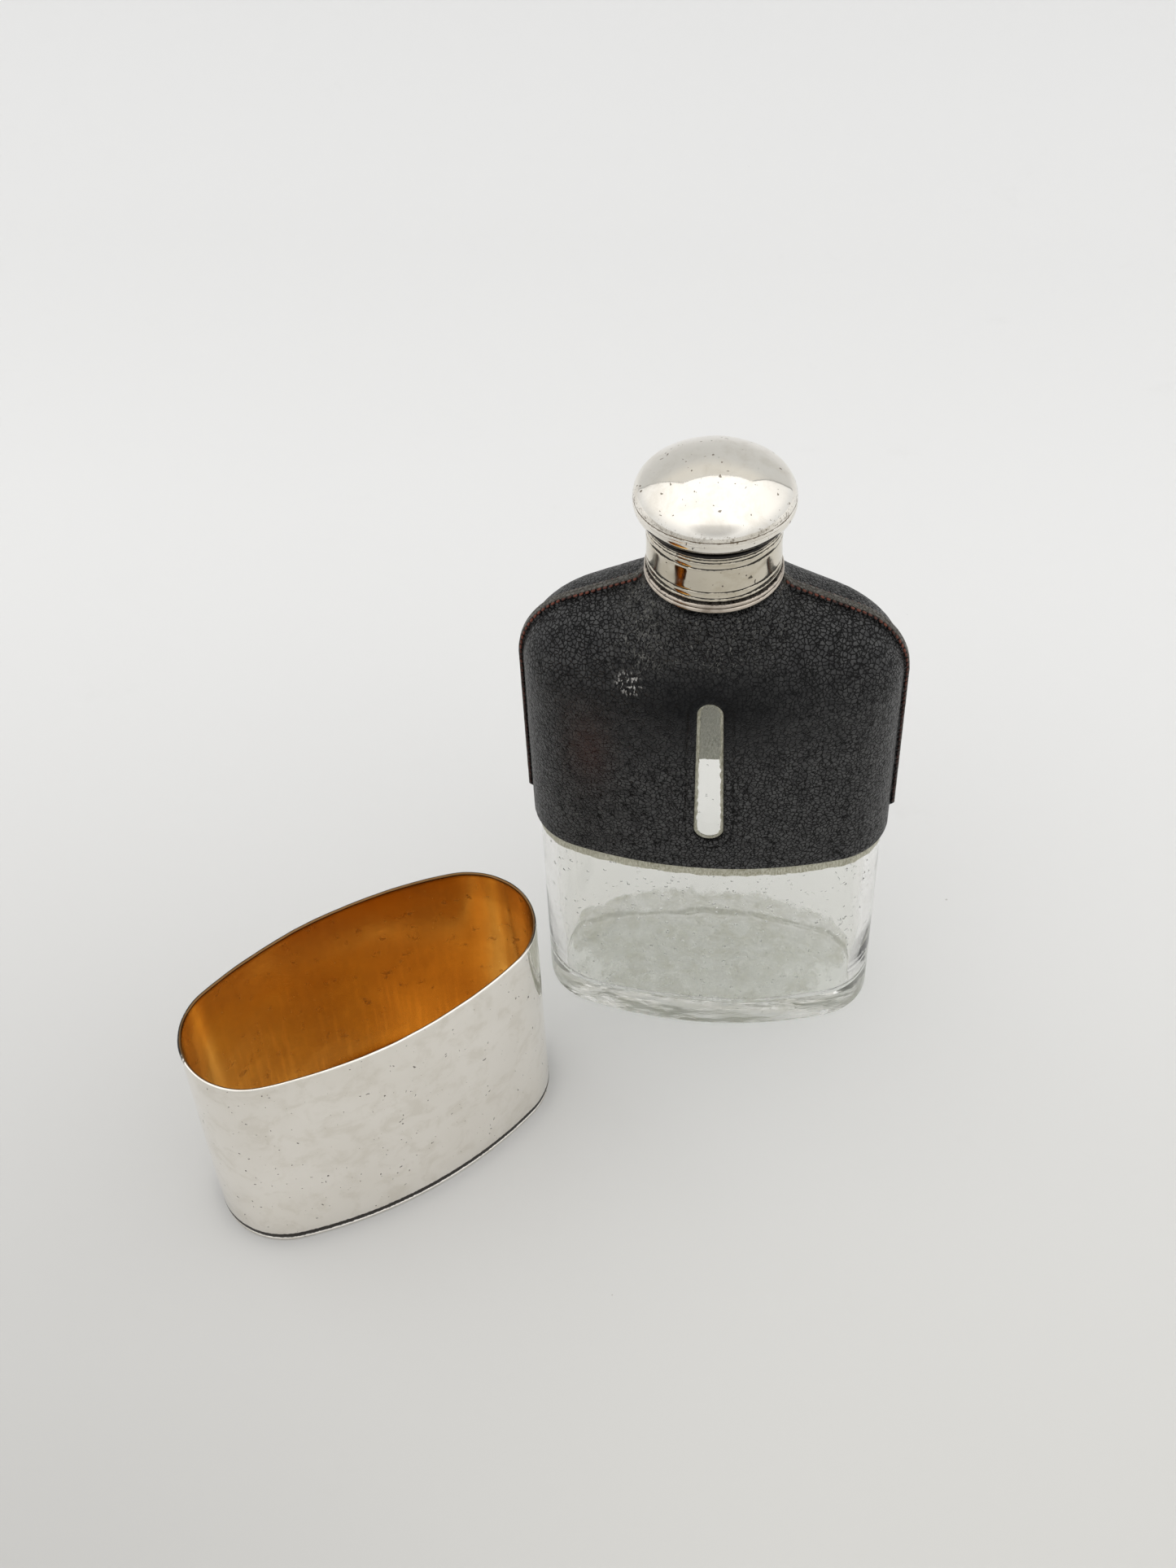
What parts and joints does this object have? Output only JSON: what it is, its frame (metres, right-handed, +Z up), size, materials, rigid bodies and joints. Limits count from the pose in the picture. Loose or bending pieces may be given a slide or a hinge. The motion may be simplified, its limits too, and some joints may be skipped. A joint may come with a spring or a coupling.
{
  "type": "hip flask",
  "caption": "Oval glass hip flask in a stitched black leather cover with a window slot, a domed plated screw cap with a captive cork, and a loose gilt-lined oval cup.",
  "frame": {"origin": "centre of the bottle's base, on the surface it stands on", "axes": "+Z up along the neck, +X along the width of the flask, -Y towards the front panel with the window slot"},
  "size_m": [0.142, 0.1015, 0.1486],
  "materials": {
    "glass": "clear, slightly rippled",
    "leather": "black pebble grain, worn smooth in the middle",
    "lining": "grey-tan cloth with a ragged edge",
    "thread": "waxed reddish-brown thread",
    "silver_plate": "polished silver plate with light scratches",
    "cup_plate": "worn silver plate outside, gilt inside",
    "brass": "dull turned brass",
    "cork": "fine cork",
    "cement": "hard plaster"
  },
  "bodies": {
    "flask": {"glass_bottle": "glass", "lining_front": "lining", "lining_back": "lining", "leather_front": "leather", "leather_back": "leather", "thread_front_left": "thread", "thread_front_right": "thread", "thread_back_left": "thread", "thread_back_right": "thread", "collar_ring": "silver_plate", "neck_sleeve": "silver_plate", "neck_cement": "cement"},
    "stopper": {"cork_disc": "cork", "stopper_pin": "brass"},
    "cap": {"cap_dome": "silver_plate", "cap_cove": "silver_plate", "cap_skirt": "silver_plate", "cap_thread_sleeve": "brass", "cap_seat_plate": "brass"},
    "cup": {"cup_wall": "cup_plate", "cup_floor": "cup_plate", "cup_foot_ring": "cup_plate"}
  },
  "joints": [
    {"name": "cap_rise", "type": "slide", "parent": "flask", "child": "stopper", "axis": [0, 0, 1], "range_m": [0, 0.0181]},
    {"name": "cap_turn", "type": "hinge", "parent": "stopper", "child": "cap", "pos_m": [0, 0, 0.135], "axis": [0, 0, 1], "range_deg": [0, 1080]},
    {"name": "cup_lift", "type": "slide", "parent": "flask", "child": "cup", "axis": [0, 0, 1], "range_m": [0, 0.17]}
  ],
  "couplings": [
    {"joint": "cap_rise", "follows": "cap_turn", "m_per_rad": 0.00095493}
  ]
}
